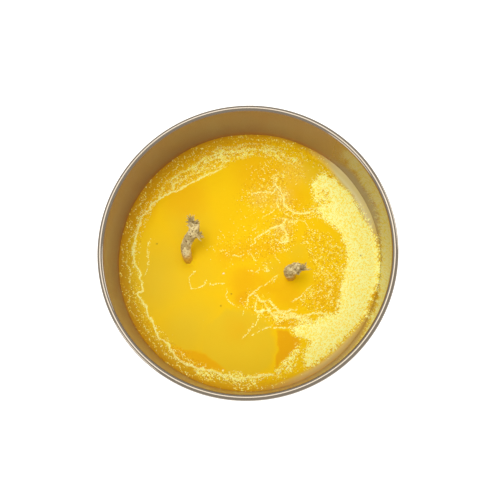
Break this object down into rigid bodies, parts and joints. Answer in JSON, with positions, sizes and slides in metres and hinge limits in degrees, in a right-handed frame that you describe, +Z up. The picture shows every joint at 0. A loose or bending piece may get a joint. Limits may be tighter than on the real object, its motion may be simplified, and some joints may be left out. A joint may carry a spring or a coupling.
{
  "type": "candle tin",
  "caption": "Round open steel tin with a rolled rim, filled with yellow container wax and gold mica, with braided wicks set on tabs inside.",
  "frame": {"origin": "centre of the foot ring, on the surface that the tin stands on", "axes": "+Z up along the tin's axis; the wicks stand apart roughly along X"},
  "size_m": [0.1, 0.1, 0.062],
  "materials": {
    "tinplate": "satin tinplate, soft reflections, polished rolled rim",
    "wax": "satin yellow container wax with gold mica on its surface",
    "wick_cotton": "waxed braided cotton, frayed at the tip",
    "tab_steel": "bright pressed steel",
    "adhesive_foam": "white closed-cell adhesive foam",
    "label_paper": "blank matt paper"
  },
  "bodies": {
    "root": {"tin_body": "tinplate", "wax_fill": "wax", "wick_left": "wick_cotton", "wick_right": "wick_cotton", "sustainer_left": "tab_steel", "sustainer_right": "tab_steel", "sticker_left": "adhesive_foam", "sticker_right": "adhesive_foam", "base_label": "label_paper"}
  },
  "joints": []
}
